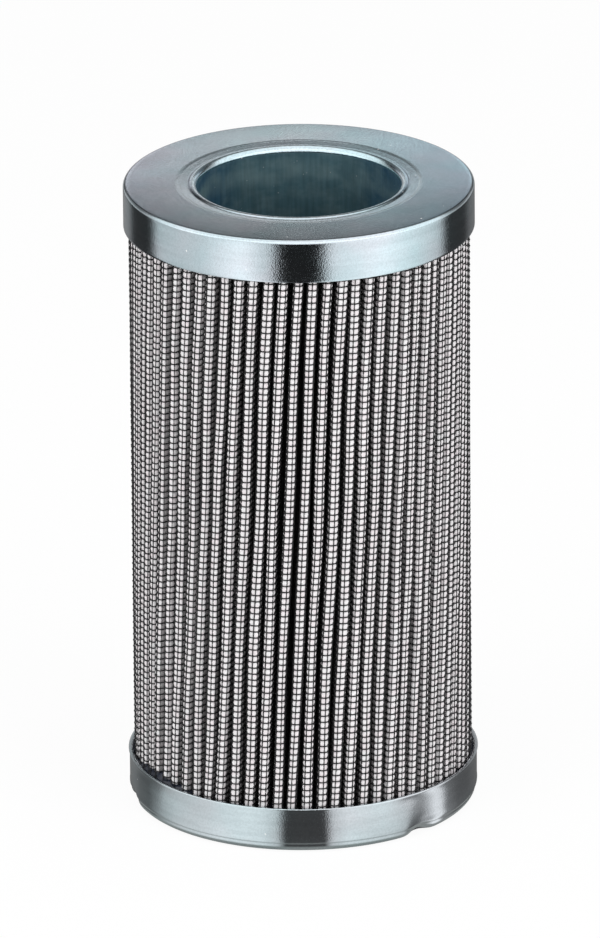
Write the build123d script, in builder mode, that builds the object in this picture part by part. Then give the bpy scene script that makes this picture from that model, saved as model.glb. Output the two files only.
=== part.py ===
from build123d import *
from math import atan, cos, radians, sin, sqrt, tan
import os

# Pleated hydraulic filter element: two pressed steel end caps, a perforated core,
# and a pleated pack of wire cloth and filter media, bonded into the caps with resin.
# Millimetres. The axis is Z, the closed end stands on Z = 0, and the front is -Y.

# Overall
outer_diameter = 70.0
height = 130.0
cap_sheet = 0.8

# Open end cap: plate, skirt, and a coined ring whose lip rolls down into the bore collar
bore_radius = 20.2
lip_radius = 1.8
coined_ring_radius = 24.2
coined_ring_drop = 0.5
collar_depth = 15.0
top_skirt_height = 8.9
top_corner_radius = 1.3

# Closed end cap: flared rim, skirt, small step, corner, and a boss inside the core
bottom_skirt_height = 9.4
bottom_corner_radius = 1.5
rim_flare = 0.2
rim_flare_height = 1.0
step_height = 2.3
step_in = 0.25
boss_radius = 20.4
boss_height = 1.4
boss_slope = 1.0

# Notches pressed across the corner of the closed end cap
notch_count = 3
first_notch_angle = -49.0
notch_depth = 0.5
notch_radius = 8.5

# Perforated core
core_wall = 0.8
core_clearance = 0.1
core_hole_diameter = 6.0
core_holes_around = 8
core_hole_rows = 7
core_hole_margin = 7.0

# Pleated pack: five layers folded together, thickest first from the outside in
pleat_count = 76
pack_radius = 34.15
crest_half_width = 0.95
crest_round = 0.55
hidden_crest_drop = 0.3
root_half_gap = 0.12
root_clearance = 0.1
layer_thickness = {
    "outer_wire_cloth": 0.2,
    "upstream_fleece": 0.08,
    "glass_fibre_media": 0.2,
    "downstream_fleece": 0.08,
    "inner_wire_cloth": 0.2,
}

# Resin rings that bond the pack and the core into the caps
resin_below_rim = 1.0

# Clip over the two cut ends of the folded strip, at the back
seam_angle = 90.0
seam_cut_drop = 1.3
clip_sheet = 0.3
clip_leg = 3.5

# Worked out from the above
cap_radius = outer_diameter / 2
skirt_inner_radius = cap_radius - cap_sheet
core_inner_radius = bore_radius + cap_sheet + core_clearance
core_outer_radius = core_inner_radius + core_wall
coined_slope = coined_ring_drop / (coined_ring_radius - bore_radius)
lip_centre_radius = bore_radius + lip_radius
lip_centre_drop = lip_radius * sqrt(1 + coined_slope**2)
lip_centre_height = height - coined_slope * (coined_ring_radius - lip_centre_radius) - lip_centre_drop
pack_bottom = bottom_skirt_height - resin_below_rim
pack_top = height - top_skirt_height + resin_below_rim
pack_height = pack_top - pack_bottom
pack_thickness = sum(layer_thickness.values())
root_radius = core_outer_radius + root_clearance + pack_thickness
pleat_pitch = 360.0 / pleat_count
step_bend_shift = cap_sheet * tan(radians(22.5))
coined_bend_shift = cap_sheet * tan(atan(coined_slope) / 2)


def under_lip_height(radius):
    """Height of the underside of the rolled lip at a distance from the axis."""
    return lip_centre_height + sqrt((lip_radius - cap_sheet) ** 2 - (lip_centre_radius - radius) ** 2)


def on_ray(angle, radial, sideways):
    """The point at a distance along a ray from the axis, moved sideways from the ray."""
    turn = radians(angle)
    return (
        radial * cos(turn) - sideways * sin(turn),
        radial * sin(turn) + sideways * cos(turn),
    )


def crest_points(angle, inset):
    """Outer fold of one pleat: rounded where it shows, a plain flat inside the pack."""
    half = crest_half_width - inset
    top = pack_radius - inset
    if inset == 0:
        shoulder = top - crest_round
        flat = half - crest_round
        corners = [(shoulder, -half), (top, -flat), (top, flat), (shoulder, half)]
    else:
        corners = [(top - hidden_crest_drop, -half), (top - hidden_crest_drop, half)]
    return [on_ray(angle, radial, sideways) for radial, sideways in corners]


def root_points(angle, inset):
    """Inner fold between two pleats."""
    half = root_half_gap + inset
    return [on_ray(angle, root_radius - inset, sideways) for sideways in (-half, half)]


def cut_end(inset, side):
    """Where the folded strip is cut off, on one flank of the seam pleat."""
    return on_ray(seam_angle, pack_radius - seam_cut_drop, side * (crest_half_width - inset))


def fold_line(inset):
    """One face of a layer, from the seam all the way round to the seam again."""
    points = [cut_end(inset, 1)]
    for pleat in range(pleat_count):
        crest_angle = seam_angle + pleat * pleat_pitch
        if pleat > 0:
            points += crest_points(crest_angle, inset)
        points += root_points(crest_angle + pleat_pitch / 2, inset)
    points.append(cut_end(inset, -1))
    return points


def pressing_section(outline, radii):
    """Sheet metal section: the outer line of a pressing, thickened inwards."""
    with BuildSketch(Plane.XZ) as section:
        with BuildLine():
            skin = FilletPolyline(*outline, radius=radii)
            offset(skin, amount=cap_sheet, side=Side.LEFT)
        make_face()
    return section.sketch


# Open end cap
top_outline = [
    (cap_radius, height - top_skirt_height),
    (cap_radius, height),
    (coined_ring_radius, height),
    (bore_radius, height - coined_ring_drop),
    (bore_radius, height - collar_depth),
]
with BuildPart() as top_end_cap:
    add(pressing_section(top_outline, [top_corner_radius, 0, lip_radius]))
    revolve(axis=Axis.Z)

# Closed end cap
corner_radius_line = cap_radius - step_in
bottom_outline = [
    (0, boss_height),
    (boss_radius - boss_slope, boss_height),
    (boss_radius, 0),
    (corner_radius_line, 0),
    (corner_radius_line, step_height - step_in),
    (cap_radius, step_height),
    (cap_radius, bottom_skirt_height - rim_flare_height),
    (cap_radius + rim_flare, bottom_skirt_height),
]
with BuildPart() as bottom_end_cap:
    add(pressing_section(bottom_outline, [0, 0, bottom_corner_radius, 0, 0, 0]))
    revolve(axis=Axis.Z)
    corner_middle = bottom_corner_radius * (1 - sqrt(0.5))
    notch_offset = (notch_radius - notch_depth) * sqrt(0.5)
    with PolarLocations(corner_radius_line - corner_middle + notch_offset, notch_count, first_notch_angle):
        with Locations((0, 0, corner_middle - notch_offset)):
            Cylinder(notch_radius, outer_diameter / 4, rotation=(0, 45, 0), mode=Mode.SUBTRACT)

# Perforated core: staggered rows of punched round holes
core_height = under_lip_height(core_inner_radius) - cap_sheet
lowest_row = pack_bottom + core_hole_margin
highest_row = height - collar_depth - core_hole_margin
row_pitch = (highest_row - lowest_row) / (core_hole_rows - 1)
hole_pitch = 360.0 / core_holes_around
with BuildPart() as support_tube:
    with BuildSketch(Plane.XY.offset(cap_sheet)):
        Circle(core_outer_radius)
        Circle(core_inner_radius, mode=Mode.SUBTRACT)
    extrude(amount=core_height)
    for row in range(core_hole_rows):
        with Locations((0, 0, lowest_row + row * row_pitch)):
            with PolarLocations(core_outer_radius, core_holes_around, (row % 2) * hole_pitch / 2):
                Cylinder(core_hole_diameter / 2, 4 * core_wall, rotation=(0, 90, 0), mode=Mode.SUBTRACT)

# Pleated layers, each one lying on the next
layers = {}
layer_inset = 0.0
for layer_name, thickness in layer_thickness.items():
    outer_face = fold_line(layer_inset)
    layer_inset += thickness
    inner_face = fold_line(layer_inset)
    with BuildPart() as layer:
        with BuildSketch(Plane.XY.offset(pack_bottom)):
            with BuildLine():
                Polyline(*outer_face, *reversed(inner_face), close=True)
            make_face()
        extrude(amount=pack_height)
    layers[layer_name] = layer

# Clip pressed over the cut ends of the strip
clip_top = pack_radius - seam_cut_drop
clip_side = crest_half_width + clip_sheet
clip_outline = [
    (clip_top - clip_leg, clip_side),
    (clip_top + clip_sheet, clip_side),
    (clip_top + clip_sheet, -clip_side),
    (clip_top - clip_leg, -clip_side),
    (clip_top - clip_leg, -crest_half_width),
    (clip_top, -crest_half_width),
    (clip_top, crest_half_width),
    (clip_top - clip_leg, crest_half_width),
]
with BuildPart() as side_seam_clip:
    with BuildSketch(Plane.XY.offset(pack_bottom)):
        with BuildLine():
            Polyline(*[on_ray(seam_angle, radial, side) for radial, side in clip_outline], close=True)
        make_face()
    extrude(amount=pack_height)

# Resin in the closed end cap, against its plate, corner, step and skirt
with BuildPart() as bottom_potting:
    with BuildSketch(Plane.XZ):
        with BuildLine():
            Polyline(
                (core_outer_radius, cap_sheet),
                (corner_radius_line - bottom_corner_radius, cap_sheet),
                (corner_radius_line - cap_sheet, bottom_corner_radius),
                (corner_radius_line - cap_sheet, step_height - step_in + step_bend_shift),
                (skirt_inner_radius, step_height + step_bend_shift),
                (skirt_inner_radius, pack_bottom),
                (core_outer_radius, pack_bottom),
                close=True,
            )
        make_face()
    revolve(axis=Axis.Z)

# Resin in the open end cap, against its plate, corner and coined ring
with BuildPart() as top_potting:
    with BuildSketch(Plane.XZ):
        with BuildLine():
            Polyline(
                (core_outer_radius, pack_top),
                (skirt_inner_radius, pack_top),
                (skirt_inner_radius, height - top_corner_radius),
                (cap_radius - top_corner_radius, height - cap_sheet),
                (coined_ring_radius + coined_bend_shift, height - cap_sheet),
                (core_outer_radius, under_lip_height(core_outer_radius)),
                close=True,
            )
        make_face()
    revolve(axis=Axis.Z)

pieces = {
    "top_end_cap": top_end_cap,
    "bottom_end_cap": bottom_end_cap,
    "support_tube": support_tube,
    "top_potting": top_potting,
    "bottom_potting": bottom_potting,
    "side_seam_clip": side_seam_clip,
} | layers

os.makedirs("parts", exist_ok=True)
for name, piece in pieces.items():
    piece.part.label = name
    export_step(piece.part, f"parts/{name}.step")
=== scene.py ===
"""Dresses the pleated filter element: its steel end caps, wire cloth, fleece and resin.

Sizes are in millimetres until a mesh is made, where they become metres. The element stands on
Z = 0 with its axis on Z and its front towards -Y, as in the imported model. Unless a name says
otherwise, angles are in degrees round the axis from +X, so the front is at -90.
"""

import logging
from dataclasses import dataclass
from enum import Enum

import bpy
import numpy as np
from mathutils import Matrix, Vector


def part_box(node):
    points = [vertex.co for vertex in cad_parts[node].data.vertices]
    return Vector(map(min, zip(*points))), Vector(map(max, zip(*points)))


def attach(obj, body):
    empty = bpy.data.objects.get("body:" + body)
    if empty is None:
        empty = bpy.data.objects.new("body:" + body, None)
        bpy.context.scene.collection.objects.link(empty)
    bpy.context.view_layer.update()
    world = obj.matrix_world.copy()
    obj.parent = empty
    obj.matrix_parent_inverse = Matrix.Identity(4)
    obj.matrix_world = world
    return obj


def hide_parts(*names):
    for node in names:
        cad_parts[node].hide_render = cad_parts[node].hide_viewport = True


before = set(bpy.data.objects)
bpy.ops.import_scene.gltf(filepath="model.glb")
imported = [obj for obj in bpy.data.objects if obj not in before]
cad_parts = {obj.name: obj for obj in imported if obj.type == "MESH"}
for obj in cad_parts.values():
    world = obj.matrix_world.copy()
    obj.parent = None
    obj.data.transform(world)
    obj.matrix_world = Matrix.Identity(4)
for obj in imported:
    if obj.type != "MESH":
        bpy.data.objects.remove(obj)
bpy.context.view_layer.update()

MM = 0.001
WIRE_CORNERS = 2 * np.pi * np.arange(3) / 3
Mesh = tuple[np.ndarray, np.ndarray]
Piece = bpy.types.Object
Socket = bpy.types.NodeSocket
log = logging.getLogger("filter_element")


class Slot(Enum):
    """The record's material slots."""

    ZINC = "zinc_plated_steel"
    CORE = "core_steel"
    WIRE = "black_wire"
    FLEECE = "white_fleece"
    GLASS = "glass_fibre"
    RESIN = "dark_resin"


def node_span(node: str) -> tuple[float, float]:
    """Lowest and highest point of a CAD node."""
    low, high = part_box(node)
    return low.z / MM, high.z / MM


def node_radius(node: str) -> float:
    """Largest distance of a CAD node from the axis along X."""
    low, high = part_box(node)
    return max(-low.x, high.x) / MM


# ---------------------------------------------------------------- meshes


def grid_faces(rows: int, columns: int, wrap_rows: bool, wrap_columns: bool) -> np.ndarray:
    """Quads of a grid whose vertices are numbered row by row.

    Args:
        rows: number of vertex rows.
        columns: number of vertices in a row.
        wrap_rows: whether the last row joins the first.
        wrap_columns: whether the last column joins the first.

    Returns:
        An array of four vertex numbers per quad.
    """
    row = np.arange(rows if wrap_rows else rows - 1)[:, None]
    column = np.arange(columns if wrap_columns else columns - 1)[None, :]
    next_row = (row + 1) % rows
    next_column = (column + 1) % columns
    corners = (
        row * columns + column,
        row * columns + next_column,
        next_row * columns + next_column,
        next_row * columns + column,
    )
    return np.stack(corners, axis=-1).reshape(-1, 4)


def mesh_object(name: str, points: np.ndarray, quads: np.ndarray, smooth: bool = True) -> Piece:
    """Makes a mesh object.

    Args:
        name: name of the piece.
        points: vertex places, with x, y and z last.
        quads: four vertex numbers per face.
        smooth: whether faces are shaded smooth.

    Returns:
        The object, at the origin, linked to the scene.
    """
    mesh = bpy.data.meshes.new(name)
    mesh.vertices.add(points.size // 3)
    mesh.vertices.foreach_set("co", (points * MM).astype(np.float32).ravel())
    mesh.loops.add(quads.size)
    mesh.loops.foreach_set("vertex_index", quads.astype(np.int32).ravel())
    mesh.polygons.add(len(quads))
    mesh.polygons.foreach_set("loop_start", np.arange(0, quads.size, 4, dtype=np.int32))
    mesh.polygons.foreach_set("use_smooth", np.full(len(quads), smooth))
    mesh.update(calc_edges=True)
    mesh.validate()
    piece = bpy.data.objects.new(name, mesh)
    bpy.context.scene.collection.objects.link(piece)
    return piece


def grid_object(name: str, grid: np.ndarray, wrap_rows: bool, wrap_columns: bool) -> Piece:
    """Makes a mesh object from a grid of places, rows by columns."""
    return mesh_object(name, grid, grid_faces(*grid.shape[:2], wrap_rows, wrap_columns))


def set_attribute(piece: Piece, name: str, values: np.ndarray) -> None:
    """Stores one number per vertex under a name that materials read."""
    layer = piece.data.attributes.new(name, "FLOAT", "POINT")
    layer.data.foreach_set("value", np.asarray(values, np.float32).ravel())


def hand_over(piece: Piece, finish: bpy.types.Material, slot: Slot, *nodes: str) -> None:
    """Dresses a piece, fixes it to the element and lets it stand for its CAD nodes.

    Args:
        piece: the finished mesh object.
        finish: its material.
        slot: the record's material slot; not used.
        nodes: the CAD nodes that it replaces.
    """
    piece.data.materials.append(finish)
    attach(piece, "root")
    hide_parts(*nodes)
    log.info("%s: %d faces, %s", piece.name, len(piece.data.polygons), finish.name)


# ---------------------------------------------------------------- finishes


class NodeBoard:
    """A material's or world's node tree, with short calls for the nodes used here."""

    def __init__(self, owner: bpy.types.ID) -> None:
        """Clears the owner's node tree and keeps it.

        Args:
            owner: the material or world.
        """
        owner.use_nodes = True
        self.tree = owner.node_tree
        self.tree.nodes.clear()

    def add(self, kind: str, **settings: object) -> bpy.types.Node:
        """Adds a node.

        Args:
            kind: the node's type.
            settings: its properties by name.

        Returns:
            The node.
        """
        node = self.tree.nodes.new(kind)
        for key, value in settings.items():
            setattr(node, key, value)
        return node

    def plug(self, socket: Socket, value: object) -> None:
        """Feeds an input.

        Args:
            socket: the input.
            value: an output to join to it, or the colour or number that it is set to.
        """
        if isinstance(value, Socket):
            self.tree.links.new(value, socket)
        elif isinstance(value, tuple):
            socket.default_value = (*value, 1.0)
        else:
            socket.default_value = value

    def math(self, operation: str, *values: object) -> Socket:
        """A Math node.

        Args:
            operation: what it works out.
            values: its inputs, each a socket or a number.

        Returns:
            Its output.
        """
        node = self.add("ShaderNodeMath", operation=operation)
        for socket, value in zip(node.inputs, values):
            self.plug(socket, value)
        return node.outputs[0]

    def place(self) -> list[Socket]:
        """The object coordinates, in metres.

        Returns:
            Sockets for x, y and z.
        """
        split = self.add("ShaderNodeSeparateXYZ")
        self.plug(split.inputs[0], self.add("ShaderNodeTexCoord").outputs["Object"])
        return list(split.outputs)

    def attribute(self, name: str) -> Socket:
        """A number stored on the piece's vertices."""
        return self.add("ShaderNodeAttribute", attribute_name=name).outputs["Fac"]

    def noise(self, scale: float, detail: float = 2.0, stretch: tuple = (1, 1, 1)) -> Socket:
        """Noise on object coordinates, between 0 and 1.

        Args:
            scale: its waves per metre.
            detail: number of finer octaves.
            stretch: scale along x, y and z.

        Returns:
            The noise's level.
        """
        mapping = self.add("ShaderNodeMapping")
        mapping.inputs["Scale"].default_value = stretch
        self.plug(mapping.inputs["Vector"], self.add("ShaderNodeTexCoord").outputs["Object"])
        texture = self.add("ShaderNodeTexNoise")
        self.plug(texture.inputs["Scale"], scale)
        self.plug(texture.inputs["Detail"], detail)
        self.plug(texture.inputs["Vector"], mapping.outputs[0])
        return texture.outputs["Fac"]

    def ramp(self, value: Socket, *stops: tuple) -> Socket:
        """A colour ramp.

        Args:
            value: what the ramp reads.
            stops: pairs of a place from 0 to 1 and a grey level or colour.

        Returns:
            The colour.
        """
        node = self.add("ShaderNodeValToRGB")
        elements = node.color_ramp.elements
        while len(elements) < len(stops):
            elements.new(0.5)
        for element, (place, level) in zip(elements, stops):
            element.position = place
            colour = level if isinstance(level, tuple) else (level, level, level)
            element.color = (*colour, 1.0)
        self.plug(node.inputs[0], value)
        return node.outputs["Color"]

    def mix(self, factor: object, first: object, second: object, blend: str = "MIX") -> Socket:
        """Mixes two colours.

        Args:
            factor: share of the second, a socket or a number.
            first: a colour socket or tuple.
            second: a colour socket or tuple.
            blend: the Mix node's blend type.

        Returns:
            The mixed colour.
        """
        node = self.add("ShaderNodeMix", data_type="RGBA", blend_type=blend)
        sockets = {socket.identifier: socket for socket in node.inputs}
        for key, value in (("Factor_Float", factor), ("A_Color", first), ("B_Color", second)):
            self.plug(sockets[key], value)
        return {socket.identifier: socket for socket in node.outputs}["Result_Color"]

    def bump(self, height: Socket, depth: float, strength: float) -> Socket:
        """A bump.

        Args:
            height: its height, where 1 is its depth.
            depth: its depth in metres.
            strength: how much of it counts.

        Returns:
            The bumped normal.
        """
        node = self.add("ShaderNodeBump")
        self.plug(node.inputs["Strength"], strength)
        self.plug(node.inputs["Distance"], depth)
        self.plug(node.inputs["Height"], height)
        return node.outputs[0]

    def end_in(self, shader: bpy.types.Node, kind: str = "ShaderNodeOutputMaterial") -> None:
        """Ends the tree in a shader, with an output node of the given type."""
        self.plug(self.add(kind).inputs["Surface"], shader.outputs[0])

    def surface(self, **sockets: object) -> None:
        """Ends the tree in a Principled shader.

        Args:
            sockets: input names, with underscores for spaces, each given a socket or a value.
        """
        shader = self.add("ShaderNodeBsdfPrincipled")
        for key, value in sockets.items():
            self.plug(shader.inputs[key.replace("_", " ")], value)
        self.end_in(shader)

    def glow(self, colour: Socket) -> None:
        """Ends the tree in a glow.

        Args:
            colour: the glow's colour, whose level is its strength.
        """
        shine = self.add("ShaderNodeEmission")
        self.plug(shine.inputs["Color"], colour)
        self.plug(shine.inputs["Strength"], 1.0)
        self.end_in(shine)

    def shows(self) -> Socket:
        """Whether the eye, a mirror or a glass sees the surface, and not a lit one.

        Returns:
            1 where it does and 0 elsewhere.
        """
        rays = self.add("ShaderNodeLightPath").outputs
        seen = self.math("MAXIMUM", rays["Is Camera Ray"], rays["Is Glossy Ray"])
        return self.math("MAXIMUM", seen, rays["Is Transmission Ray"])


@dataclass(frozen=True)
class Finish:
    """A named finish. Each kind of finish paints its own board."""

    name: str

    def paint(self, board: NodeBoard) -> None:
        """Lays the finish's nodes on a board.

        Args:
            board: the material's cleared board.
        """
        raise NotImplementedError

    def material(self) -> bpy.types.Material:
        """Makes the material.

        Returns:
            The painted material, under the finish's name.
        """
        material = bpy.data.materials.new(self.name)
        self.paint(NodeBoard(material))
        return material


@dataclass(frozen=True)
class ZincPlate(Finish):
    """Bright zinc plating on drawn sheet: bluish, satin on flats and shinier on walls."""

    name: str = "zinc_plate"
    silver: tuple = (0.59, 0.765, 0.815)
    rose: tuple = (0.69, 0.755, 0.815)
    speck: tuple = (0.92, 0.94, 0.94)
    flat_roughness: float = 0.24
    drawn_roughness: float = 0.11
    smear: float = 0.09
    flat_grain: float = 0.00004
    drawn_grain: float = 0.00005

    def by_drawn(self, board: NodeBoard, drawn: Socket, flat: float, wall: float) -> Socket:
        """A number that goes from the flats' to the walls' as the sheet was drawn."""
        return board.math("ADD", board.math("MULTIPLY", drawn, wall - flat), flat)

    def paint(self, board: NodeBoard) -> None:
        """Rose clouds, streaks and speckles, whose share is less where the sheet was drawn."""
        cloud = board.ramp(board.noise(50.0, 3.0), (0.38, 0.0), (0.62, 1.0))
        colour = board.mix(cloud, self.silver, self.rose)
        streak = board.ramp(board.noise(150.0, 5.0, (0.35, 0.35, 4.0)), (0.38, 0.90), (0.6, 1.0))
        colour = board.mix(1.0, colour, streak, "MULTIPLY")
        drawn = board.attribute("drawn")
        speckle = board.ramp(board.noise(2300.0), (0.36, 0.82), (0.60, 1.0))
        colour = board.mix(self.by_drawn(board, drawn, 1.0, 0.4), colour, speckle, "MULTIPLY")
        smear = board.math("SUBTRACT", board.noise(260.0, 4.0, (0.5, 0.5, 2.0)), 0.5)
        smear = board.math("MULTIPLY", smear, self.smear)
        roughness = self.by_drawn(board, drawn, self.flat_roughness, self.drawn_roughness)
        depth = self.by_drawn(board, drawn, self.flat_grain, self.drawn_grain)
        grain = board.math("MULTIPLY", board.noise(3400.0), depth)
        specks = board.ramp(board.noise(1100.0, 1.0), (0.78, 0.0), (0.81, 1.0))
        board.surface(
            Base_Color=board.mix(specks, colour, self.speck),
            Metallic=board.ramp(specks, (0.0, 1.0), (1.0, 0.3)),
            Roughness=board.math("ADD", roughness, smear),
            Normal=board.bump(grain, 1.0, 0.45),
        )


@dataclass(frozen=True)
class BoreZinc(Finish):
    """Zinc plating inside the collar, where the drawing tool left it dull, teal and smudged, with painted
    shade towards the sides and painted light under the lip.
    """

    name: str = "bore_zinc"
    teal: tuple = (0.088, 0.18, 0.215)
    # painted shade: the darker navy laid on towards the sides of the bore
    navy: tuple = (0.045, 0.125, 0.20)
    # smudge colour, laid on at random and also as painted light in a band under the lip
    smudge_and_painted_light: tuple = (0.19, 0.30, 0.325)
    speck: tuple = (0.8, 0.85, 0.85)
    bore: float = 20.2
    band_low: float = 120.0

    def paint(self, board: NodeBoard) -> None:
        """Painted shade in navy towards the sides, a band of painted light under the lip, upright strokes and
        specks.
        """
        x, _, z = board.place()
        across = board.math("DIVIDE", board.math("ABSOLUTE", x), self.bore * MM)
        # painted shade: navy towards the left and right sides of the bore
        colour = board.mix(board.ramp(across, (0.558, 0.0), (0.855, 1.0)), self.teal, self.navy)
        smudges = board.ramp(board.noise(210.0, 4.0, (1, 1, 1.6)), (0.45, 0.0), (0.75, 0.7))
        colour = board.mix(smudges, colour, self.smudge_and_painted_light)
        # painted light: a paler band on the wall just under the lip, broken by patches
        above = board.math("DIVIDE", board.math("SUBTRACT", z, self.band_low * MM), 10 * MM)
        band = board.ramp(above, (0.22, 0.0), (0.44, 1.0), (0.60, 1.0), (0.80, 0.0))
        patches = board.ramp(board.noise(170.0, 3.0), (0.36, 0.15), (0.60, 0.9))
        colour = board.mix(board.math("MULTIPLY", band, patches), colour, self.smudge_and_painted_light)
        strokes = board.ramp(board.noise(1500.0, 2.0, (1, 1, 0.08)), (0.35, 0.82), (0.65, 1.0))
        colour = board.mix(1.0, colour, strokes, "MULTIPLY")
        specks = board.ramp(board.noise(1700.0, 1.0), (0.77, 0.0), (0.80, 1.0))
        board.surface(
            Base_Color=board.mix(specks, colour, self.speck),
            Metallic=0.55,
            Roughness=board.ramp(board.noise(300.0), (0.3, 0.36), (0.7, 0.48)),
        )


@dataclass(frozen=True)
class DullSteel(Finish):
    """Plain galvanised steel of the core and the seam clip."""

    name: str = "dull_steel"
    colour: tuple = (0.42, 0.45, 0.47)

    def paint(self, board: NodeBoard) -> None:
        """Grey steel with a faint spangle."""
        paler = tuple(1.25 * part for part in self.colour)
        board.surface(
            Base_Color=board.mix(board.noise(90.0), self.colour, paler),
            Metallic=1.0,
            Roughness=board.ramp(board.noise(420.0, 1.0), (0.3, 0.25), (0.7, 0.48)),
            Normal=board.bump(board.noise(1500.0), 0.00002, 0.3),
        )


@dataclass(frozen=True)
class BlackWire(Finish):
    """Epoxy-coated wire: near black with a soft sheen."""

    name: str = "black_wire"
    colour: tuple = (0.006, 0.006, 0.007)
    worn: tuple = (0.015, 0.015, 0.016)

    def paint(self, board: NodeBoard) -> None:
        """The coating, a little uneven in gloss."""
        board.surface(
            Base_Color=board.mix(board.noise(600.0), self.colour, self.worn),
            Roughness=board.ramp(board.noise(900.0), (0.3, 0.55), (0.7, 0.75)),
            Normal=board.bump(board.noise(4000.0), 0.00001, 0.2),
        )


@dataclass(frozen=True)
class WhiteFleece(Finish):
    """Spun white fleece under the cloth, with fibre texture, a faint pink cast and painted shade down between
    the pleats.
    """

    name: str = "white_fleece"
    white: tuple = (0.82, 0.81, 0.82)
    pink: tuple = (0.80, 0.745, 0.765)
    wet: tuple = (0.012, 0.015, 0.026)

    def paint(self, board: NodeBoard) -> None:
        """Soft matt white, with painted shade that darkens it down between the pleats, and navy where resin
        soaked it.
        """
        cast = board.ramp(board.noise(700.0), (0.4, 0.0), (0.65, 1.0))
        # painted shade: the white darkens almost to black as the depth attribute goes down the flanks between
        # the pleats
        depth = board.ramp(board.attribute("depth"), (0.0, 1.0), (0.25, 0.38), (1.0, 0.05))
        shaded = board.mix(1.0, board.mix(cast, self.white, self.pink), depth, "MULTIPLY")
        edge = board.math("ADD", board.attribute("soak"), board.math("MULTIPLY", board.noise(900.0), 0.5))
        soak = board.ramp(edge, (0.62, 0.0), (0.78, 1.0))
        board.surface(
            Base_Color=board.mix(soak, shaded, self.wet),
            Roughness=board.math("SUBTRACT", 0.78, board.math("MULTIPLY", soak, 0.5)),
            Normal=board.bump(board.noise(3200.0, 4.0), 0.00006, 0.5),
        )


@dataclass(frozen=True)
class DarkResin(Finish):
    """Cast resin: navy black and glossy, with small waves."""

    name: str = "dark_resin"
    colour: tuple = (0.012, 0.015, 0.026)
    cloud: tuple = (0.03, 0.036, 0.055)

    def paint(self, board: NodeBoard) -> None:
        """The resin with a rippled skin."""
        board.surface(
            Base_Color=board.mix(board.noise(350.0), self.colour, self.cloud),
            Roughness=board.ramp(board.noise(500.0), (0.3, 0.18), (0.7, 0.4)),
            Normal=board.bump(board.noise(450.0, 3.0), 0.0004, 0.6),
        )


# ---------------------------------------------------------------- pleated pack


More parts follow.
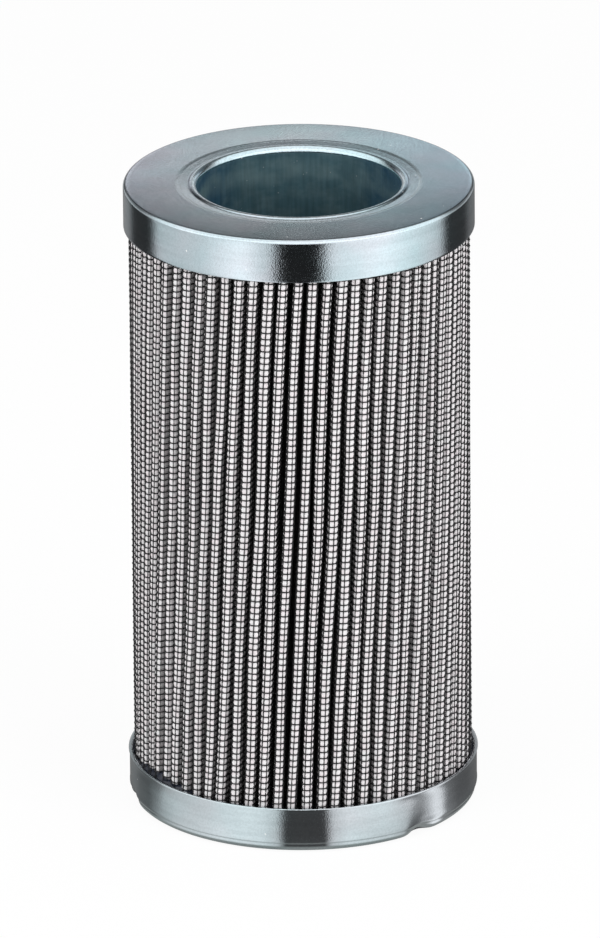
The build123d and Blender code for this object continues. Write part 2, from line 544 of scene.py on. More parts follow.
@dataclass
class PleatLayout:
    """Where the pleats run: round the axis, then twisted, spread, jittered and swaying as by hand."""

    crest_radius: float
    low: float
    high: float
    count: int = 76
    root_radius: float = 22.8
    root_gap: float = 0.10
    half_width: float = 1.17
    crest_depth: float = 0.8
    twist: float = 9.0
    spread: float = 5.2
    spread_angle: float = -125.0
    jitter: float = 0.15
    sway: float = 0.24
    breathing: float = 0.05
    seam_angle: float = 92.2
    seam_drop: float = 1.3

    def __post_init__(self) -> None:
        """Draws each pleat's own irregularities, always the same ones."""
        dice = np.random.default_rng(7)
        self.offset = dice.normal(0, self.jitter, self.count).clip(-0.7, 0.7)
        self.wave = dice.uniform(0.8, 2.2, (2, self.count))
        self.phase = dice.uniform(0, 2 * np.pi, (3, self.count))
        self.width = 1 + dice.normal(0, 0.03, self.count).clip(-0.07, 0.07)
        self.drop = np.abs(dice.normal(0, 0.10, self.count)).clip(0, 0.28)
        self.offset[0] = 0
        self.drop[0] = self.seam_drop
        self.flank = self.crest_radius - self.crest_depth - self.root_radius

    def rise(self, height: np.ndarray) -> np.ndarray:
        """A height as a share of the pack's, from 0 at its foot to 1."""
        return (height - self.low) / (self.high - self.low)

    def base_angle(self, pleat: np.ndarray, height: np.ndarray) -> np.ndarray:
        """Angle of a pleat's foot.

        It is the pleat's share of the circle, a sine once round that spreads the pleats on one
        side, and the twist with height.

        Args:
            pleat: number of the pleat.
            height: height above the floor.

        Returns:
            The angle.
        """
        share = self.seam_angle + pleat * 360.0 / self.count
        spread = self.spread * np.sin(np.radians(share - self.spread_angle))
        return share + spread + self.twist * (self.rise(height) - 0.5)

    def crest_sway(self, pleat: np.ndarray, height: np.ndarray) -> np.ndarray:
        """How far a crest leans off its foot: an offset and two sine waves up the pleat.

        Args:
            pleat: number of the pleat.
            height: height above the floor.

        Returns:
            The angle between crest and foot.
        """
        turns = 2 * np.pi * self.rise(height)
        slow = np.sin(self.wave[0][pleat] * turns + self.phase[0][pleat])
        quick = np.sin(2.3 * self.wave[1][pleat] * turns + self.phase[1][pleat])
        return self.offset[pleat] + self.sway * (slow + 0.35 * quick)

    def half_width_at(self, pleat: np.ndarray, height: np.ndarray) -> np.ndarray:
        """Half the width of a crest, which a sine wave up the pleat makes to breathe.

        Args:
            pleat: number of the pleat.
            height: height above the floor.

        Returns:
            The half width.
        """
        wave = np.sin(3.4 * np.pi * self.rise(height) + self.phase[2][pleat])
        return self.half_width * self.width[pleat] * (1 + self.breathing * wave)

    def quarter_arc(self, half: np.ndarray) -> np.ndarray:
        """Length of a quarter of the crest's ellipse, by the mean of its two half axes."""
        return np.pi / 2 * np.sqrt((half**2 + self.crest_depth**2) / 2)

    def reach(self) -> float:
        """Length along the face from the middle of an average crest to the top of its flank."""
        return float(self.quarter_arc(np.array(self.half_width)))

    def point(self, pleat: np.ndarray, height: np.ndarray, along: np.ndarray, lift: np.ndarray) -> np.ndarray:
        """A point on a pleat's outer face, or off it.

        The face is half an ellipse over the crest and a straight flank down to the root on each
        side. A place along it is measured from the middle of the crest, and the point is then
        moved off the face by a lift along the face's normal.

        Args:
            pleat: number of the pleat.
            height: height above the floor.
            along: signed distance from the middle of the crest, along the face.
            lift: distance off the face, outwards.

        Returns:
            Places, with x, y and z last.
        """
        pleat, height, along, lift = np.broadcast_arrays(pleat, height, along, lift)
        half = self.half_width_at(pleat, height)
        side = np.sign(along)
        quarter = self.quarter_arc(half)
        turn = np.clip(np.abs(along) / quarter, 0, 1) * np.pi / 2
        down = np.clip(np.abs(along) - quarter, 0, self.flank)
        foot = np.pi / self.count * (self.crest_radius - self.crest_depth - down) - self.root_gap
        share = down / self.flank
        radial = self.crest_radius - self.drop[pleat] * (1 - share)
        radial = radial - self.crest_depth * (1 - np.cos(turn)) - down + lift * np.cos(turn)
        flank_width = half + (np.minimum(foot, half) - half) * share
        sideways = side * np.where(down > 0, flank_width, half * np.sin(turn))
        sideways = sideways + lift * side * np.sin(turn)
        angle = np.radians(self.base_angle(pleat, height) + self.crest_sway(pleat, height) * (1 - share))
        x = radial * np.cos(angle) - sideways * np.sin(angle)
        y = radial * np.sin(angle) + sideways * np.cos(angle)
        return np.stack([x, y, height], axis=-1)


@dataclass
class ResinLevel:
    """How high the resin stands in the closed end cap, and how far it ran up the pleats."""

    level: float = 8.0
    ripple: float = 0.4
    run_up: float = 2.1
    run_up_angle: float = -151.0
    run_up_width: float = 14.0

    def height(self, angle: np.ndarray) -> np.ndarray:
        """Height of the resin: a level, two small sine ripples and one broad bell-shaped swell.

        Args:
            angle: where round the axis.

        Returns:
            The height above the floor.
        """
        away = (angle - self.run_up_angle + 180) % 360 - 180
        turn = np.radians(angle)
        waves = self.ripple * (1 + 0.6 * np.sin(turn * 13 + 1) + 0.4 * np.sin(turn * 31))
        return self.level + waves + self.run_up * np.exp(-((away / self.run_up_width) ** 2))


@dataclass
class PleatedPack:
    """The folded layers: woven black wires, pillowed fleece, and the plain layers inside."""

    layout: PleatLayout
    resin: ResinLevel
    wire_radius: float = 0.155
    weft_pitch: float = 1.295
    warp_pitch: float = 1.28
    warp_steps: int = 31
    shown_flank: float = 3.2
    fleece_inset: float = 0.40
    pillow: float = 0.24
    # length down the flank over which the fleece's painted shade deepens
    painted_shade_flank: float = 4.5
    # painted shade given to the hidden layers, as deep between the pleats
    hidden_painted_shade: float = 0.8
    clip_sheet: float = 0.3
    clip_length: float = 3.5
    clip_steps: int = 41
    plain_steps: int = 9

    def weft_heights(self) -> np.ndarray:
        """Heights of the level wires, from one end of the pack to the other."""
        count = int((self.layout.high - self.layout.low) / self.weft_pitch)
        return self.layout.low + self.weft_pitch * (np.arange(count) + 0.5)

    def row_shift(self, pleat: np.ndarray) -> np.ndarray:
        """How far the level wires ride up or down on one pleat: two sine waves round the pack."""
        return self.weft_pitch * (0.22 * np.sin(pleat * 0.83) + 0.13 * np.sin(pleat * 2.9))

    def warp_start(self, pleat: np.ndarray) -> np.ndarray:
        """Where the upright wires fall on a pleat, as a share of their pitch: golden-ratio steps."""
        return np.modf(pleat * 0.618)[0]

    def tubes(self, corners: list) -> Mesh:
        """Joins the corner lines of many thin tubes into one mesh.

        Args:
            corners: one array of places per corner line, with steps along the wire second to last.

        Returns:
            Points and quads.
        """
        points = np.stack(corners, axis=-2)
        steps, sides = points.shape[-3], points.shape[-2]
        wires = points.size // (3 * steps * sides)
        quads = grid_faces(steps, sides, False, True)
        quads = quads[None] + np.arange(wires)[:, None, None] * steps * sides
        return points, quads.reshape(-1, 4)

    def wefts(self, first: int, last: int) -> Mesh:
        """Level wires over the crests of a run of pleats, as thin three-sided tubes.

        Each centre line follows the pleat's face, one wire radius under it. Its corners stand on
        a circle about the centre line: one out along the normal, two above and below behind it.

        Args:
            first: number of the first pleat.
            last: number after the last pleat.

        Returns:
            Points and quads.
        """
        pleats = np.arange(first, last)[:, None, None]
        level = self.weft_heights()[None, :, None] + self.row_shift(pleats)
        reach = self.layout.reach()
        ends = reach + self.shown_flank
        along = np.concatenate([[-ends], np.linspace(-reach, reach, 6), [ends]])
        up, out = -self.wire_radius * np.sin(WIRE_CORNERS), self.wire_radius * (np.cos(WIRE_CORNERS) - 1)
        return self.tubes([self.layout.point(pleats, level + z, along, lift) for z, lift in zip(up, out)])

    def warps(self) -> Mesh:
        """Upright wires along the crests and upper flanks, as thin three-sided tubes.

        They stand at equal steps along each pleat's face, starting where the cloth happened to be
        folded, and follow the face from end to end, half a wire radius under the level wires.

        Returns:
            Points and quads.
        """
        layout = self.layout
        count = int((layout.reach() + self.shown_flank) / self.warp_pitch) + 2
        places = np.arange(-count, count + 1) + self.warp_start(np.arange(layout.count))[:, None]
        places = places * self.warp_pitch
        pleats = np.broadcast_to(np.arange(layout.count)[:, None], places.shape)
        chosen = np.abs(places) < layout.reach() + self.shown_flank
        places, pleats = places[chosen][:, None], pleats[chosen][:, None]
        heights = np.linspace(layout.low, layout.high, self.warp_steps)
        side, out = self.wire_radius * np.sin(WIRE_CORNERS), self.wire_radius * (np.cos(WIRE_CORNERS) - 1.5)
        return self.tubes([layout.point(pleats, heights, places + w, lift) for w, lift in zip(side, out)])

    def fleece(self, first: int, last: int) -> tuple[np.ndarray, ...]:
        """Fleece under the wires of a run of pleats, swelling in every mesh of the cloth.

        The sheet lies under the cloth. Its rows fall in turn on a level wire, where it is pressed
        in, and half way to the next one, where it stands proud. Across the face it swells with
        the root of the sine of the place between two upright wires.

        Args:
            first: number of the first pleat.
            last: number after the last pleat.

        Returns:
            Points, quads, depth for the painted shade from 0 at the crest to 1 down the flank, and soak from
            0 to 1.
        """
        layout = self.layout
        reach = layout.reach()
        steps = np.array([1.2, 3.6, layout.flank])
        across = np.concatenate([-reach - steps[::-1], np.linspace(-reach, reach, 7), reach + steps])
        wires = self.weft_heights()
        rows = np.sort(np.concatenate([wires, wires + self.weft_pitch / 2, [layout.low]]))
        proud = (np.arange(len(rows)) % 2 == 0)[:, None, None]
        pleats = np.arange(first, last)[:, None]
        level = np.clip(rows[:, None, None] + self.row_shift(pleats), layout.low, layout.high)
        between = across / self.warp_pitch - self.warp_start(pleats)
        swell = np.sqrt(np.abs(np.sin(np.pi * between))) * proud
        points = layout.point(pleats, level, across, self.pillow * swell - self.fleece_inset)
        quads = grid_faces(len(rows), (last - first) * len(across), False, False)
        # depth drives the painted shade of the fleece down the flanks
        depth = np.clip((np.abs(across) - reach) / self.painted_shade_flank, 0, 1)
        angle = np.degrees(np.arctan2(points[..., 1], points[..., 0]))
        soak = np.clip((self.resin.height(angle) + 0.6 - points[..., 2]) / 1.2, 0, 1)
        return points, quads, np.broadcast_to(depth, points.shape[:3]), soak

    def plain_layer(self, inset: float, thickness: float) -> Mesh:
        """A layer inside the pack, as a closed folded sheet that twists with the fleece.

        Args:
            inset: how far its outer face lies under the pack's face.
            thickness: its thickness.

        Returns:
            Points and quads.
        """
        layout = self.layout
        reach = layout.reach()
        ends = reach + layout.flank
        across = np.array([-ends, -reach, -0.4 * reach, 0.4 * reach, reach, ends])
        heights = np.linspace(layout.low, layout.high, self.plain_steps)[:, None, None]
        pleats = np.arange(layout.count)[:, None]
        sides = [layout.point(pleats, heights, across, -depth) for depth in (inset, inset + thickness)]
        outer, inner = (side.reshape(self.plain_steps, -1, 3) for side in sides)
        loop = np.concatenate([outer, inner[::-1]])
        return loop, grid_faces(*loop.shape[:2], True, True)

    def seam_clip(self) -> Mesh:
        """The clip over the seam pleat: a channel section carried up the twisted pleat.

        Returns:
            Points and quads.
        """
        layout = self.layout
        reach = layout.reach()
        ends = reach + self.clip_length
        along = np.concatenate([[-ends], np.linspace(-reach, reach, 7), [ends]])
        heights = np.linspace(layout.low, layout.high, self.clip_steps)[:, None]
        outer = layout.point(0, heights, along, self.clip_sheet)
        inner = layout.point(0, heights, along[::-1], 0.01)
        loop = np.concatenate([outer, inner], axis=1)
        return loop, grid_faces(*loop.shape[:2], False, True)

    def build(self) -> None:
        """Makes and dresses every layer of the pack."""
        wire, fleece = BlackWire().material(), WhiteFleece().material()
        middle = self.layout.count // 2
        for number, run in enumerate(((0, middle), (middle, self.layout.count)), 1):
            piece = mesh_object(f"outer_cloth_wefts_{number}", *self.wefts(*run))
            hand_over(piece, wire, Slot.WIRE, "outer_wire_cloth")
            points, quads, depth, soak = self.fleece(*run)
            sheet = mesh_object(f"fleece_{number}", points, quads)
            set_attribute(sheet, "depth", depth)
            set_attribute(sheet, "soak", soak)
            hand_over(sheet, fleece, Slot.FLEECE, "upstream_fleece")
        hand_over(mesh_object("outer_cloth_warps", *self.warps()), wire, Slot.WIRE, "outer_wire_cloth")
        hidden = (
            ("glass_fibre_media", 0.42, 0.14, fleece, Slot.GLASS),
            ("downstream_fleece", 0.57, 0.05, fleece, Slot.FLEECE),
            ("inner_wire_cloth", 0.63, 0.14, wire, Slot.WIRE),
        )
        for node, inset, thickness, finish, slot in hidden:
            piece = mesh_object(f"pleated_{node}", *self.plain_layer(inset, thickness), smooth=False)
            vertices = len(piece.data.vertices)
            # painted shade: the hidden layers take the fleece finish darkened as if deep between the pleats
            set_attribute(piece, "depth", np.full(vertices, self.hidden_painted_shade))
            set_attribute(piece, "soak", np.zeros(vertices))
            hand_over(piece, finish, slot, node)
        clip = mesh_object("seam_clip", *self.seam_clip())
        hand_over(clip, DullSteel().material(), Slot.CORE, "side_seam_clip")


# ---------------------------------------------------------------- end caps


def arc(centre_r: float, centre_z: float, radius: float, start: float, end: float, steps: int) -> np.ndarray:
    """An arc in a section: its centre plus the radius times cosine and sine of the angle.

    Args:
        centre_r: the centre's distance from the axis.
        centre_z: the centre's height.
        radius: the arc's radius.
        start: angle of its first point, from the outward direction up.
        end: angle of its last point.
        steps: number of points.

    Returns:
        Points as radius and height.
    """
    turn = np.radians(np.linspace(start, end, steps))
    return np.stack([centre_r + radius * np.cos(turn), centre_z + radius * np.sin(turn)], axis=-1)


def upright(radius: float, heights: np.ndarray) -> np.ndarray:
    """A straight wall in a section, as radius and height."""
    return np.stack([np.full(len(heights), radius), heights], axis=-1)


def lathe(section: np.ndarray, segments: int) -> np.ndarray:
    """Turns a section about Z: the cosine and sine of the angle times the radius.

    Args:
        section: points as radius and height.
        segments: number of steps round the axis.

    Returns:
        Places, with rows along the section and columns round the axis.
    """
    turn = np.linspace(0, 2 * np.pi, segments, endpoint=False)
    radius, height = section[:, :1], section[:, 1:]
    return np.stack(np.broadcast_arrays(radius * np.cos(turn), radius * np.sin(turn), height), axis=-1)


def push_in(turned: np.ndarray, push: np.ndarray) -> np.ndarray:
    """Moves points towards the axis.

    Args:
        turned: the places.
        push: how far each of them goes.

    Returns:
        The moved places.
    """
    radius = np.maximum(np.hypot(turned[..., 0], turned[..., 1]), 1e-6)
    pushed = turned.copy()
    pushed[..., :2] *= ((radius - push) / radius)[..., None]
    return pushed


def round_from(turned: np.ndarray, angle: float, half_angle: float) -> np.ndarray:
    """How far places are from an angle round the axis, as a share of a half angle.

    Args:
        turned: the places.
        angle: the angle that they are measured from.
        half_angle: the angle that counts as 1.

    Returns:
        One signed share per place.
    """
    places = np.degrees(np.arctan2(turned[..., 1], turned[..., 0]))
    return ((places - angle + 180) % 360 - 180) / half_angle


@dataclass(frozen=True)
class Dent:
    """A soft dent in a skirt: where it is, how far it reaches and how deep it goes."""

    angle: float
    height: float
    half_angle: float
    half_height: float
    depth: float

    def push(self, turned: np.ndarray) -> np.ndarray:
        """How far each point is pushed in: a bell curve round the dent and up it.

        Args:
            turned: places on the cap.

        Returns:
            The depth at each place.
        """
        away = round_from(turned, self.angle, self.half_angle)
        above = (turned[..., 2] - self.height) / self.half_height
        return self.depth * np.exp(-(away**2) - above**2)


@dataclass
class EndCap:
    """What both pressed end caps share: radius over the skirt, sheet, steps round and dents."""

    radius: float = 35.0
    sheet: float = 0.8
    segments: int = 400
    dents: tuple = ()

    def pressed(self, name: str, turned: np.ndarray, drawn: np.ndarray) -> Piece:
        """Dents a turned section and makes it a piece.

        Args:
            name: name of the piece.
            turned: the closed section, turned about the axis.
            drawn: how far the sheet was drawn at each point of the section, from 0 to 1.

        Returns:
            The piece, which keeps drawn for its material.
        """
        dented = push_in(turned, sum(dent.push(turned) for dent in self.dents))
        piece = grid_object(name, dented, True, True)
        set_attribute(piece, "drawn", np.repeat(drawn, self.segments))
        return piece


@dataclass
class TopCap(EndCap):
    """The open end cap: skirt, satin plate, coined ring, rolled lip and collar."""

    height: float = 130.0
    skirt: float = 8.9
    rim_round: float = 0.12
    corner: float = 0.75
    dome: float = 0.12
    ring: float = 24.2
    groove: float = 0.08
    bed: float = 0.26
    bore: float = 20.2
    lip: float = 1.15
    collar: float = 16.4
    joint: float = 0.04
    dents: tuple = (Dent(-110.0, 127.5, 5.0, 1.2, 0.03), Dent(-41.0, 124.0, 4.0, 2.0, 0.03))

    def outside(self) -> list:
        """The outer line, from the rim of the skirt over the plate and round the lip.

        The plate falls towards its edge with the cube of the distance from the ring. Past the
        ring's shallow groove a flat bed slopes down to the lip, whose crest is level with the
        ring.

        Returns:
            Pairs of points, as radius and height, and how far that stretch was drawn, from 0 on
            the plate to 1 on the skirt.
        """
        top, rim, edge = self.height, self.height - self.skirt, self.radius - self.corner
        shoulder = top - self.dome - self.corner
        wall = np.array([rim + self.rim_round, rim + 0.5, rim + 2.5, rim + 4.5, shoulder - 0.6])
        plate_r = np.linspace(edge, self.ring, 16)[1:]
        fall = self.dome * ((plate_r - self.ring) / (edge - self.ring)) ** 3
        ring_z, bed_z, lip_r = top - self.groove, top - self.bed, self.bore + self.lip
        groove = [[self.ring - 0.15, ring_z], [self.ring - 0.35, ring_z - 0.03]]
        slope = [np.linspace(self.ring - 0.6, lip_r + 0.8, 5), np.linspace(ring_z - 0.045, bed_z, 5)]
        return [
            ([[self.radius - self.rim_round, rim]], 1.0),
            (upright(self.radius, wall), 1.0),
            (arc(edge, shoulder, self.corner, 0, 90, 12), 0.9),
            (np.stack([plate_r, top - fall], axis=-1), 0.0),
            (np.concatenate([groove, np.stack(slope, axis=-1), [[lip_r + 0.7, bed_z + 0.015]]]), 0.2),
            (arc(lip_r, top - self.lip, self.lip, 65, 180, 18), 0.8),
            ([[self.bore, top - self.lip - self.joint]], 0.8),
        ]

    def inside(self) -> list:
        """The inner line, back under the lip and the plate and down inside the skirt.

        Returns:
            Pairs of points and drawn share, as for the outer line.
        """
        under, rim, inner = self.height - self.sheet, self.height - self.skirt, self.radius - self.sheet
        edge, bed_z = self.radius - self.corner, under - self.bed
        bend_z = self.height - self.dome - self.corner
        return [
            (arc(self.bore + self.lip, self.height - self.lip, self.lip - self.sheet, 180, 90, 6), 0.5),
            ([[self.ring - 1.5, bed_z], [self.ring, bed_z], [edge, under - self.dome]], 0.5),
            (arc(edge, bend_z, self.corner - self.sheet, 80, 0, 5), 0.5),
            ([[inner, rim + self.rim_round], [inner + 0.1, rim]], 1.0),
        ]

    def collar_section(self) -> np.ndarray:
        """The collar's closed section, from the end of the lip down to its rounded foot.

        Returns:
            Points as radius and height. They stand close together at both ends of the wall, so
            that its shading stays flat.
        """
        lip_z, foot = self.height - self.lip - self.joint, self.height - self.collar
        outer = self.bore + self.sheet
        wall = np.concatenate([[lip_z], np.linspace(lip_z - 0.05, foot + 0.25, 8), [foot + 0.2]])
        back = [[self.bore + 0.2, foot], [outer, foot], [outer, lip_z]]
        return np.concatenate([upright(self.bore, wall), back])

    def build(self, finish: bpy.types.Material, bore_finish: bpy.types.Material) -> None:
        """Makes and dresses the cap and its collar.

        Args:
            finish: the cap's plating.
            bore_finish: the collar's plating.
        """
        parts = self.outside() + self.inside()
        section = np.concatenate([points for points, _ in parts])
        drawn = np.repeat([share for _, share in parts], [len(points) for points, _ in parts])
        cap = self.pressed("open_end_cap", lathe(section, self.segments), drawn)
        hand_over(cap, finish, Slot.ZINC, "top_end_cap")
        collar = grid_object("bore_collar", lathe(self.collar_section(), self.segments), True, True)
        hand_over(collar, bore_finish, Slot.ZINC, "top_end_cap")


@dataclass
class BottomCap(EndCap):
    """The closed end cap: flared rim, skirt, step, tight corner and three pressed notches."""

    segments: int = 480
    skirt: float = 9.4
    corner: float = 1.5
    step_height: float = 2.3
    step_in: float = 0.25
    flare: float = 0.2
    bead: float = 0.05
    boss: float = 20.4
    boss_height: float = 1.4
    pole: float = 0.01
    notch_angles: tuple = (-47.5, 71.0, 191.0)
    notch_half_angle: float = 4.4
    notch_depth: float = 0.75
    notch_reach: tuple = (3.6, 4.2)
    dents: tuple = (
        Dent(-53.3, 8.4, 4.0, 1.1, 0.12),
        Dent(-56.0, 6.2, 5.0, 2.6, 0.05),
        Dent(-149.0, 8.2, 4.0, 1.8, 0.07),
        Dent(-96.0, 5.0, 12.0, 3.0, 0.03),
    )

    def bead_places(self) -> list:
        """The bead that the step leaves along the foot of the skirt.

        Returns:
            Points up the bead, as radius and height.
        """
        foot, top = self.radius - self.step_in, self.radius + self.bead
        under = [[foot + 0.03, 1.7], [foot + 0.14, 1.95], [foot + 0.27, 2.2]]
        crest = [[top - 0.01, 2.42], [top, 2.55], [top - 0.008, 2.7], [top - 0.025, 2.9]]
        return under + crest + [[self.radius + 0.008, 3.15]]

    def section(self) -> np.ndarray:
        """The cap's section from the axis out, up the skirt, over the rim and back inside.

        Returns:
            Points as radius and height.
        """
        foot, inner, rim = self.radius - self.step_in, self.radius - self.sheet, self.skirt
        boss, floor, flared = self.boss, self.boss_height, self.radius + self.flare
        roof = floor + self.sheet
        stretches = [
            [[self.pole, floor], [boss - 1.6, floor], [boss - 1.0, floor - 0.1]],
            [[boss - 0.1, 0.15], [boss + 0.3, 0.0], [foot - self.corner - 1.5, 0.0]],
            arc(foot - self.corner, self.corner, self.corner, -90, 0, 10),
            self.bead_places(),
            upright(self.radius, np.linspace(self.step_height + 1.2, rim - 1.1, 7)),
            [[self.radius + 0.4 * self.flare, rim - 0.5], [flared, rim - 0.1]],
            [[flared - 0.1, rim], [inner + self.flare + 0.1, rim]],
            [[inner + self.flare, rim - 0.12], [inner, rim - 1.2], [inner, 2.6]],
            [[inner - 0.6, self.sheet + 0.7], [inner - 1.3, self.sheet]],
            [[boss + 0.6, self.sheet], [boss - 0.4, roof], [self.pole, roof]],
        ]
        return np.concatenate(stretches)

    def notched(self, turned: np.ndarray) -> np.ndarray:
        """Presses the notches: a bell-shaped dip across the corner, fading out up the skirt.

        Args:
            turned: the turned section, section points by segments.

        Returns:
            The same grid, pushed in and up at each notch.
        """
        radius, height = np.hypot(turned[..., 0], turned[..., 1]), turned[..., 2]
        reach_r, reach_z = self.notch_reach
        reach = np.clip(1 - np.hypot((radius - self.radius) / reach_r, height / reach_z), 0, 1)
        ways = [round_from(turned, notch, self.notch_half_angle) for notch in self.notch_angles]
        dip = sum(np.exp(-np.abs(away) ** 2.6) for away in ways)
        push = 1.3 * self.notch_depth * reach**1.2 * dip
        pressed = push_in(turned, push)
        pressed[..., 2] += push * np.clip(1 - height / 3, 0, 1)
        return pressed

    def build(self, finish: bpy.types.Material) -> None:
        """Makes and dresses the cap.

        Args:
            finish: the cap's plating.
        """
        section = self.section()
        turned = self.notched(lathe(section, self.segments))
        cap = self.pressed("closed_end_cap", turned, np.where(section[:, 1] > self.sheet, 1.0, 0.4))
        hand_over(cap, finish, Slot.ZINC, "bottom_end_cap")


@dataclass
class ResinRing:
    """Resin in the closed end cap: level between the pleats, higher where it ran up."""

    resin: ResinLevel
    low: float = 0.85
    inner: float = 21.9
    outer: float = 34.3
    at_skirt: float = 0.7
    segments: int = 360

    def build(self, finish: bpy.types.Material) -> None:
        """Makes the ring as a grid round the axis whose top follows the resin's height.

        Args:
            finish: the resin's material.
        """
        degrees = np.linspace(0, 360, self.segments, endpoint=False)
        turn = np.radians(degrees)
        top = self.resin.height(degrees)
        edge = np.minimum(top, self.resin.level + self.at_skirt)
        floor = np.full(self.segments, self.low)
        radius = np.array([33.2, self.outer, 34.1, 33.5, 32.6, 28.0, self.inner, self.inner])[:, None]
        height = np.stack([floor, edge - 0.3, edge, top - 0.1, top, top, top, floor])
        grid = np.stack([radius * np.cos(turn), radius * np.sin(turn), height], axis=-1)
        hand_over(grid_object("resin_foot", grid, True, True), finish, Slot.RESIN, "bottom_potting")


# ---------------------------------------------------------------- studio


def stops_between(low: float, high: float, stops: tuple) -> list:
    """A ramp's stops, with each place turned from its own unit into a share of a range."""
    return [((place - low) / (high - low), level) for place, level in stops]


@dataclass
class Studio:
    """White table and backdrop, soft lamps, reflection cards and the camera.

    The cards are lists of places and levels, a level being a grey or a colour. Those on the table
    go by the angle round the skirt, from 0 at the front to 90 at its right, the tent's by the
    angle over the element, from 0 low down behind to 180 low down in front, and the others by the
    share of the card's height or of its width.
    """

    distance: float = 3000.0
    camera_pitch: float = 20.934
    aim_pitch: float = 20.778
    roll: float = -0.470
    lens: float = 574.3
    aim_height: float = 60.0
    side_shift: float = -0.207
    soft_level: float = 0.42
    table_white: float = 0.93
    skirt_radius: float = 35.0
    far_out: float = 60.0
    foot_out: float = 1.12
    # painted shadow: the grey that the table cards take right at the foot
    foot_painted_shadow: tuple = (0.30, 0.31, 0.30)
    far_cards: tuple = (
        (-90, 0.28), (-75, 0.24), (-70, 0.04), (-56.5, 0.03), (-53.5, 0.62), (-34, 0.76), (-19, 1.26),
        (-12, 0.84), (-9.0, 0.74), (-7.3, 0.015), (7.5, 0.015), (9.2, 0.85), (13, 1.06), (28, 1.28),
        (49, 0.78), (53, 0.62), (56, 0.04), (70, 0.04), (75, 0.15), (90, 0.20),
    )
    near_cards: tuple = (
        (-90, 0.16), (-72, 0.16), (-62, 0.14), (-56, 0.38), (-47, 0.70), (-28, 0.97), (-14, 0.98),
        (-9, 0.70), (-6.2, 0.07), (7.0, 0.07), (9.5, 0.70), (15, 0.96), (31, 0.78), (36, 0.58),
        (39, 0.12), (42.5, 0.10), (46, 0.60), (48.5, 1.1), (52, 1.06), (54.5, 0.28), (58, 0.22),
        (62, 0.14), (75, 0.12), (90, 0.14),
    )
    tent_radius: float = 1500.0
    tent_levels: tuple = (
        (0, 0.50), (10, 0.50), (18, 0.45), (26, 0.27), (36, 0.15), (50, 0.12), (60, 1.15), (106, 1.25),
        (111, 0.60), (116, 1.5), (150, 1.5), (168, 1.1), (180, 0.9),
    )
    tent_sides: tuple = ((0.0, 1.0), (0.23, 1.0), (0.32, 0.0), (0.68, 0.0), (0.77, 1.0), (1.0, 1.0))
    tent_behind: tuple = ((0.0, 1.0), (0.58, 1.0), (0.78, 0.15), (1.0, 0.15))
    card_radius: float = 110.0
    card_foot: float = 133.0
    card_height: float = 75.0
    card_half_angle: float = 45.0
    card_levels: tuple = (
        (0.0, 0.30), (0.16, 0.34), (0.26, 0.42), (0.33, 1.00), (0.36, 1.20), (0.41, 1.22), (0.47, 0.40),
        (0.53, 0.285), (0.66, (0.235, 0.247, 0.26)), (0.70, (0.185, 0.20, 0.212)), (0.76, 0.11), (1.0, 0.11),
    )
    card_sides: tuple = (
        (0.22, 0.16), (0.32, (0.84, 0.81, 0.86)), (0.42, (0.98, 0.97, 0.98)), (0.50, 1.0),
        (0.60, (0.88, 0.95, 1.0)), (0.68, (0.81, 0.88, 0.96)), (0.78, 0.16),
    )

    def backdrop(self) -> None:
        """A world that is white where it shows and soft grey where it lights."""
        world = bpy.data.worlds.new("studio")
        bpy.context.scene.world = world
        board = NodeBoard(world)
        background = board.add("ShaderNodeBackground")
        soft = (self.soft_level, self.soft_level, self.soft_level)
        board.plug(background.inputs["Color"], board.mix(board.shows(), soft, (1.0, 1.0, 1.0)))
        board.plug(background.inputs["Strength"], 1.0)
        board.end_in(background, "ShaderNodeOutputWorld")

    def table(self) -> None:
        """A white table that catches a soft shadow."""
        half = 4000.0
        corners = np.array([[-half, -half, 0], [half, -half, 0], [half, half, 0], [-half, half, 0]])
        table = mesh_object("table", corners, np.array([[0, 1, 2, 3]]))
        finish = bpy.data.materials.new("white_table")
        board = NodeBoard(finish)
        matt = board.add("ShaderNodeBsdfDiffuse")
        white = (self.table_white, self.table_white, self.table_white)
        board.plug(matt.inputs["Color"], white)
        shine = board.add("ShaderNodeEmission")
        board.plug(shine.inputs["Strength"], 1.0)
        blend = board.add("ShaderNodeMixShader")
        board.plug(blend.inputs[0], board.math("MULTIPLY", board.shows(), self.table_white))
        board.plug(blend.inputs[1], matt.outputs[0])
        board.plug(blend.inputs[2], shine.outputs[0])
        board.end_in(blend)
        table.data.materials.append(finish)

    def card(self, name: str, grid: np.ndarray, wrap: bool, **numbers: np.ndarray) -> NodeBoard:
        """Makes a card that only shiny surfaces see.

        Args:
            name: the card's name.
            grid: its places, rows by columns.
            wrap: whether it goes all the way round.
            numbers: attributes for its material, by name.

        Returns:
            The board of its material, to be ended in a glow.
        """
        card = grid_object(name, grid, False, wrap)
        for key, values in numbers.items():
            set_attribute(card, key, np.broadcast_to(values, grid.shape[:2]))
        for way in ("camera", "diffuse", "transmission", "volume_scatter", "shadow"):
            setattr(card, f"visible_{way}", False)
        finish = bpy.data.materials.new(name)
        card.data.materials.append(finish)
        log.info("%s: reflection card", name)
        return NodeBoard(finish)

    def foot_shade(self) -> None:
        """A flat ring round the foot, dark against the skirt and pale farther out."""
        radius = np.array([30.0, 35.0, 37.0, 41.0, 50.0, 90.0])
        levels = np.array([0.05, 0.10, 0.22, 0.34, 0.5, 0.9])[:, None]
        section = np.stack([radius, np.full(len(radius), 0.1)], axis=-1)
        board = self.card("foot_shade", lathe(section, 120), True, level=levels)
        board.glow(board.attribute("level"))

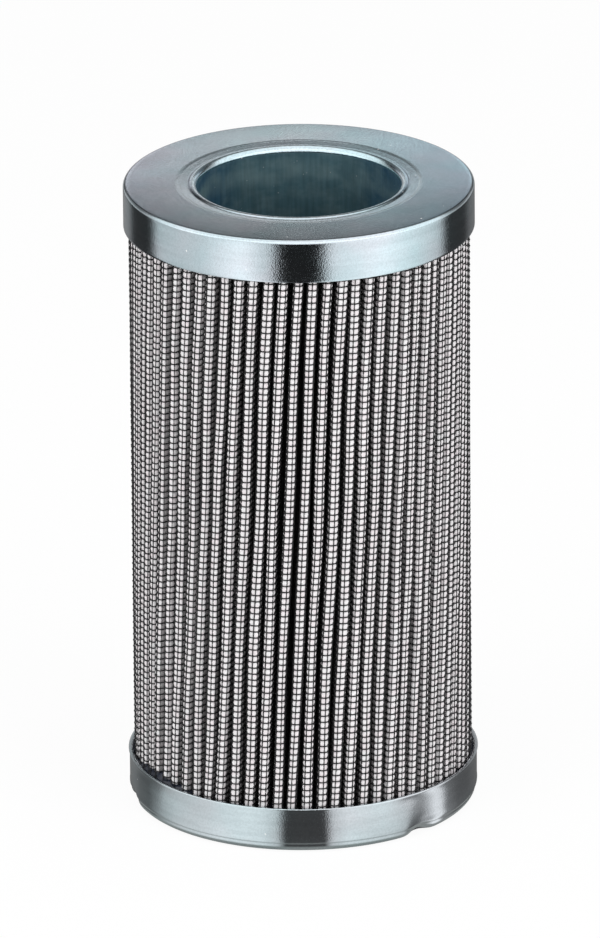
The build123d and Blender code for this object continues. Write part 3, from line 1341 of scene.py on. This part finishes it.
    def table_cards(self) -> None:
        """Grey, white and black cards laid round the foot, where the skirts mirror them, grey with painted
        shadow right at the foot.

        A card point for an angle round the skirt and a distance out lies that distance from the
        skirt, in the direction of twice the angle. The angle and distance are kept as attributes.
        """
        turn = np.radians(np.linspace(-90, 90, 181))
        out = np.array([-2.5, 0.0, 2.0, 4.0, 8.0, 16.0, 30.0, 120.0, 400.0, 1400.0])[:, None]
        x = self.skirt_radius * np.sin(turn) + out * np.sin(2 * turn)
        y = -self.skirt_radius * np.cos(turn) - out * np.cos(2 * turn)
        grid = np.stack([x, y, np.full(x.shape, 0.2)], axis=-1)
        board = self.card("table_cards", grid, False, share=turn / np.pi + 0.5, out=out)
        share, out = board.attribute("share"), board.attribute("out")
        near = board.ramp(share, *stops_between(-90, 90, self.near_cards))
        far = board.ramp(share, *stops_between(-90, 90, self.far_cards))
        away = board.math("MINIMUM", board.math("DIVIDE", out, self.far_out), 1.0)
        # painted shadow: within foot_out of the skirt the cards fade to a grey that stands for the shadow at
        # the foot
        off = board.math("DIVIDE", out, self.foot_out)
        foot = board.ramp(off, (0.0, 0.0), (1.0, 1.0))
        board.glow(board.mix(foot, self.foot_painted_shadow, board.mix(away, near, far)))

    def tent(self) -> None:
        """A round tent over the element: pale low down behind, dark higher up, soft boxes on top."""
        section = arc(0.0, 0.0, self.tent_radius, 0, 89.9, 24)
        board = self.card("reflection_tent", lathe(section, 64), True)
        x, y, z = board.place()
        over = board.math("DIVIDE", board.math("ARCTAN2", z, y), np.pi)
        middle = board.ramp(over, *stops_between(0, 180, self.tent_levels))
        side = board.ramp(self.share_across(board, x, self.tent_radius), *self.tent_sides)
        behind = board.ramp(self.share_across(board, y, self.tent_radius), *self.tent_behind)
        board.glow(board.mix(1.0, middle, board.mix(1.0, side, behind, "MULTIPLY"), "LIGHTEN"))

    def back_card(self) -> None:
        """A curved card behind the element, pale low down and darker above, as the plate mirrors it."""
        turn = np.radians(90 + np.linspace(-self.card_half_angle, self.card_half_angle, 41))
        rise = np.linspace(0, 1, 6)[:, None]
        x, y = self.card_radius * np.cos(turn), self.card_radius * np.sin(turn)
        grid = np.stack(np.broadcast_arrays(x, y, self.card_foot + rise * self.card_height), axis=-1)
        board = self.card("back_card", grid, False, rise=rise)
        levels = board.ramp(board.attribute("rise"), *self.card_levels)
        sides = board.ramp(self.share_across(board, board.place()[0], self.card_radius), *self.card_sides)
        board.glow(board.mix(1.0, levels, sides, "MULTIPLY"))

    def share_across(self, board: NodeBoard, place: Socket, radius: float) -> Socket:
        """A coordinate as a share of a circle's width: 0 at its low side, 1 at its high side."""
        return board.math("ADD", board.math("DIVIDE", place, 2 * radius * MM), 0.5)

    def lamp(self, name: str, place: tuple, size: float, power: float) -> None:
        """A square soft lamp that points at the element's middle, unseen in reflections.

        Args:
            name: the lamp's name.
            place: where it hangs.
            size: length of its side.
            power: its power in watts.
        """
        data = bpy.data.lights.new(name, "AREA")
        data.size, data.energy = size * MM, power
        lamp = bpy.data.objects.new(name, data)
        bpy.context.scene.collection.objects.link(lamp)
        self.aim(lamp, Vector(place), Vector((0, 0, self.aim_height)) - Vector(place))
        lamp.visible_glossy = False

    def aim(self, tool: Piece, place: Vector, sight: Vector, roll: float = 0.0) -> None:
        """Sets a lamp or camera at a place, looking along a line and rolled about it.

        Args:
            tool: the lamp or camera.
            place: where it stands.
            sight: the direction that it looks in.
            roll: its turn about that direction.
        """
        turn = sight.to_track_quat("-Z", "Y").to_matrix().to_4x4()
        tool.matrix_world = Matrix.Translation(place * MM) @ turn @ Matrix.Rotation(np.radians(roll), 4, "Z")

    def camera(self) -> None:
        """A long lens looking down at the front."""
        data = bpy.data.cameras.new("camera")
        data.lens, data.clip_end = self.lens, 50.0
        camera = bpy.data.objects.new("camera", data)
        bpy.context.scene.collection.objects.link(camera)
        pitch, aim = np.radians(self.camera_pitch), np.radians(self.aim_pitch)
        back, up = self.distance * np.cos(pitch), self.distance * np.sin(pitch)
        sight = Vector((self.side_shift / self.distance, np.cos(aim), -np.sin(aim)))
        self.aim(camera, Vector((0, -back, self.aim_height + up)), sight, self.roll)
        bpy.context.scene.camera = camera

    def build(self) -> None:
        """Sets up the lights, the table, the cards and the camera."""
        bpy.context.scene.view_settings.view_transform = "Standard"
        self.backdrop()
        self.table()
        self.foot_shade()
        self.table_cards()
        self.tent()
        self.back_card()
        self.lamp("left_softbox", (-900, -900, 700), 900, 7)
        self.lamp("right_softbox", (900, -900, 700), 900, 9)
        self.lamp("top_softbox", (0, -100, 1300), 900, 6)
        self.camera()


def dress_cad_nodes() -> None:
    """Gives the CAD nodes that stay their finishes."""
    # painted shade: the core takes a much darker copy of the dull steel, standing for the shade deep in the
    # bore
    tube = DullSteel("core_steel", (0.13, 0.14, 0.145))
    for name, kind in (("support_tube", tube), ("top_potting", DarkResin())):
        finish = kind.material()
        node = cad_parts[name]
        node.data.materials.clear()
        node.data.materials.append(finish)
        log.info("%s: CAD node, %s", name, finish.name)


def main() -> None:
    """Builds the element's pieces in order, then the studio."""
    logging.basicConfig(level=logging.INFO, format="%(name)s: %(message)s")
    low, high = node_span("outer_wire_cloth")
    layout = PleatLayout(crest_radius=node_radius("outer_wire_cloth"), low=low, high=high)
    resin = ResinLevel()
    PleatedPack(layout, resin).build()
    TopCap().build(ZincPlate().material(), BoreZinc().material())
    BottomCap().build(ZincPlate("zinc_foot", (0.64, 0.75, 0.785), (0.70, 0.74, 0.78)).material())
    ResinRing(resin).build(DarkResin().material())
    dress_cad_nodes()
    Studio().build()


if __name__ == "__main__":
    main()
